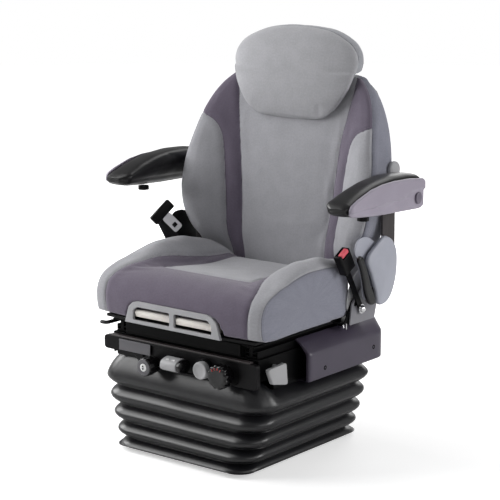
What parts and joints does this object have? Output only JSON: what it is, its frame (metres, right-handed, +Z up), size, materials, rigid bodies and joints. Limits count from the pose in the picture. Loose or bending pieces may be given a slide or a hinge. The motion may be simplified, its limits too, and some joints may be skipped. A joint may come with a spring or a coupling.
{
  "type": "agricultural machine seat",
  "caption": "Suspension seat with ribbed rubber boot, side-bolstered cushion and backrest, head restraint, fold-up armrests, lap belt and front controls.",
  "frame": {"origin": "centre of the base plate's underside", "axes": "+Z up, the seat faces -Y, +X to the left of someone sitting in it"},
  "size_m": [0.7686, 0.5708, 1.009],
  "materials": {
    "black_steel": "semi-gloss black paint",
    "black_plastic": "fine grain",
    "rubber": "satin",
    "zinc_steel": "zinc plated",
    "bright_steel": "polished",
    "dark_cover": "satin",
    "grey_plastic": "satin",
    "light_plastic": "satin",
    "handle_white": "satin",
    "grey_fabric": "woven cloth panels in two greys",
    "pad_black": "soft grained",
    "button_red": "gloss",
    "cap_white": "gloss"
  },
  "bodies": {
    "base": {"base_plate": "black_steel", "boot": "rubber", "air_spring": "rubber"},
    "outer_link": {"scissor_outer": "black_steel"},
    "suspension": {"upper_frame": "black_steel", "control_panel": "black_plastic", "edge_strip": "bright_steel", "side_cover_left": "dark_cover", "side_cover_right": "dark_cover", "lower_rail_left": "black_steel", "lower_rail_right": "black_steel"},
    "inner_link": {"scissor_inner": "black_steel"},
    "ride_knob": {"ride_knob": "black_plastic", "ride_knob_cap": "cap_white"},
    "height_rocker": {"height_rocker": "grey_plastic"},
    "vent_button": {"vent_button": "grey_plastic"},
    "damper_knob": {"damper_knob": "black_plastic"},
    "isolator_tab": {"isolator_tab": "grey_plastic"},
    "carriage": {"carriage_plate": "black_steel", "side_plate_left": "black_steel", "side_plate_right": "black_steel", "upper_rail_left": "zinc_steel", "upper_rail_right": "zinc_steel", "belt_retractor": "black_plastic", "belt_webbing": "black_plastic"},
    "release_lever": {"release_lever": "black_plastic"},
    "tongue": {"tongue_grip": "black_plastic", "belt_tongue": "bright_steel"},
    "buckle": {"buckle_stalk": "black_plastic", "buckle_housing": "black_plastic"},
    "buckle_button": {"buckle_button": "button_red"},
    "pan": {"tilt_pan": "black_steel"},
    "cushion": {"cushion_board": "black_plastic", "cushion": "grey_fabric", "front_trim": "grey_plastic"},
    "depth_handle": {"depth_handle": "handle_white"},
    "tilt_handle": {"tilt_handle": "handle_white"},
    "backrest": {"backrest": "grey_fabric", "back_frame": "black_steel", "back_shell": "black_plastic", "arm_bracket_left": "black_steel", "arm_bracket_right": "black_steel", "hinge_cover_left": "grey_plastic", "hinge_cover_right": "grey_plastic"},
    "recline_lever": {"recline_lever": "black_plastic"},
    "lumbar_knob": {"lumbar_knob": "grey_plastic"},
    "headrest": {"headrest": "grey_fabric", "headrest_plate": "black_steel"},
    "armrest_left": {"armrest_pad_left": "pad_black", "armrest_shell_left": "light_plastic", "armrest_cap_left": "black_plastic"},
    "armrest_right": {"armrest_pad_right": "pad_black", "armrest_shell_right": "light_plastic", "armrest_cap_right": "black_plastic"},
    "rest_wheel_left": {"rest_wheel_left": "black_plastic"},
    "rest_wheel_right": {"rest_wheel_right": "black_plastic"}
  },
  "joints": [
    {"name": "suspension_travel", "type": "slide", "parent": "base", "child": "suspension", "axis": [0, 0, 1], "range_m": [-0.09, 0], "stiffness_N_per_m": 6000, "springref_m": 0.1, "deforming": ["boot", "air_spring"]},
    {"name": "outer_link_turn", "type": "hinge", "parent": "base", "child": "outer_link", "pos_m": [0, 0.15, 0.0183], "axis": [-1, 0, 0], "range_deg": [-17.6, 0]},
    {"name": "inner_link_turn", "type": "hinge", "parent": "suspension", "child": "inner_link", "pos_m": [0, 0.15, 0.2223], "axis": [1, 0, 0], "range_deg": [-17.6, 0]},
    {"name": "fore_aft", "type": "slide", "parent": "suspension", "child": "carriage", "axis": [0, 1, 0], "range_m": [-0.075, 0.075]},
    {"name": "cushion_tilt", "type": "hinge", "parent": "carriage", "child": "pan", "pos_m": [0, 0.12, 0.3645], "axis": [-1, 0, 0], "range_deg": [0, 5.5]},
    {"name": "cushion_depth", "type": "slide", "parent": "pan", "child": "cushion", "axis": [0, 1, 0], "range_m": [-0.06, 0]},
    {"name": "backrest_recline", "type": "hinge", "parent": "carriage", "child": "backrest", "pos_m": [0, 0.205, 0.4316], "axis": [-1, 0, 0], "range_deg": [0, 28]},
    {"name": "headrest_height", "type": "slide", "parent": "backrest", "child": "headrest", "axis": [0, 0.0872, 0.9962], "range_m": [0, 0.06]},
    {"name": "armrest_left_fold", "type": "hinge", "parent": "backrest", "child": "armrest_left", "pos_m": [0.3405, 0.214, 0.623], "axis": [-1, 0, 0], "range_deg": [-12, 95]},
    {"name": "armrest_right_fold", "type": "hinge", "parent": "backrest", "child": "armrest_right", "pos_m": [-0.3405, 0.214, 0.623], "axis": [-1, 0, 0], "range_deg": [-12, 95]},
    {"name": "rest_wheel_left_turn", "type": "hinge", "parent": "armrest_left", "child": "rest_wheel_left", "pos_m": [0.3405, 0.04, 0.6], "axis": [0, 0, 1], "continuous": true},
    {"name": "rest_wheel_right_turn", "type": "hinge", "parent": "armrest_right", "child": "rest_wheel_right", "pos_m": [-0.3405, 0.04, 0.6], "axis": [0, 0, 1], "continuous": true},
    {"name": "ride_knob_turn", "type": "hinge", "parent": "suspension", "child": "ride_knob", "pos_m": [-0.07, -0.2218, 0.2337], "axis": [0, -1, 0], "continuous": true},
    {"name": "height_rocker_tilt", "type": "hinge", "parent": "suspension", "child": "height_rocker", "pos_m": [0.008, -0.2388, 0.2477], "axis": [1, 0, 0], "range_deg": [-12, 12], "stiffness_Nm_per_rad": 0.6},
    {"name": "vent_button_press", "type": "slide", "parent": "suspension", "child": "vent_button", "axis": [0, 1, 0], "range_m": [0, 0.005], "stiffness_N_per_m": 400, "springref_m": -0.003},
    {"name": "damper_turn", "type": "hinge", "parent": "suspension", "child": "damper_knob", "pos_m": [0.146, -0.2218, 0.2447], "axis": [0, -1, 0], "range_deg": [0, 180]},
    {"name": "isolator_swing", "type": "hinge", "parent": "suspension", "child": "isolator_tab", "pos_m": [0.241, -0.15, 0.2617], "axis": [1, 0, 0], "range_deg": [0, 35]},
    {"name": "release_lift", "type": "hinge", "parent": "carriage", "child": "release_lever", "pos_m": [-0.2235, -0.1435, 0.3113], "axis": [0, 0, -1], "range_deg": [0, 4]},
    {"name": "tongue_swing", "type": "hinge", "parent": "carriage", "child": "tongue", "pos_m": [-0.2613, 0.02, 0.543], "axis": [-0.866, 0.5, 0], "range_deg": [0, 40]},
    {"name": "buckle_swing", "type": "hinge", "parent": "carriage", "child": "buckle", "pos_m": [0.268, 0.137, 0.3516], "axis": [1, 0, 0], "range_deg": [-6, 20]},
    {"name": "buckle_button_press", "type": "slide", "parent": "buckle", "child": "buckle_button", "axis": [0, 0.5, -0.866], "range_m": [0, 0.003], "stiffness_N_per_m": 600, "springref_m": -0.002},
    {"name": "depth_handle_pull", "type": "hinge", "parent": "cushion", "child": "depth_handle", "pos_m": [0.064, -0.203, 0.3388], "axis": [-1, 0, 0], "range_deg": [0, 6], "stiffness_Nm_per_rad": 1, "springref_deg": -8.59},
    {"name": "tilt_handle_pull", "type": "hinge", "parent": "cushion", "child": "tilt_handle", "pos_m": [-0.064, -0.203, 0.3388], "axis": [-1, 0, 0], "range_deg": [0, 6], "stiffness_Nm_per_rad": 1, "springref_deg": -8.59},
    {"name": "recline_lever_pull", "type": "hinge", "parent": "backrest", "child": "recline_lever", "pos_m": [0.2953, 0.138, 0.3776], "axis": [1, 0, 0], "range_deg": [0, 18], "stiffness_Nm_per_rad": 1, "springref_deg": -11.46},
    {"name": "lumbar_turn", "type": "hinge", "parent": "backrest", "child": "lumbar_knob", "pos_m": [0.28493, 0.238, 0.679], "axis": [1, 0, 0], "continuous": true}
  ],
  "couplings": [
    {"joint": "outer_link_turn", "follows": "suspension_travel", "rad_per_m": 3.39},
    {"joint": "inner_link_turn", "follows": "suspension_travel", "rad_per_m": 3.39}
  ]
}
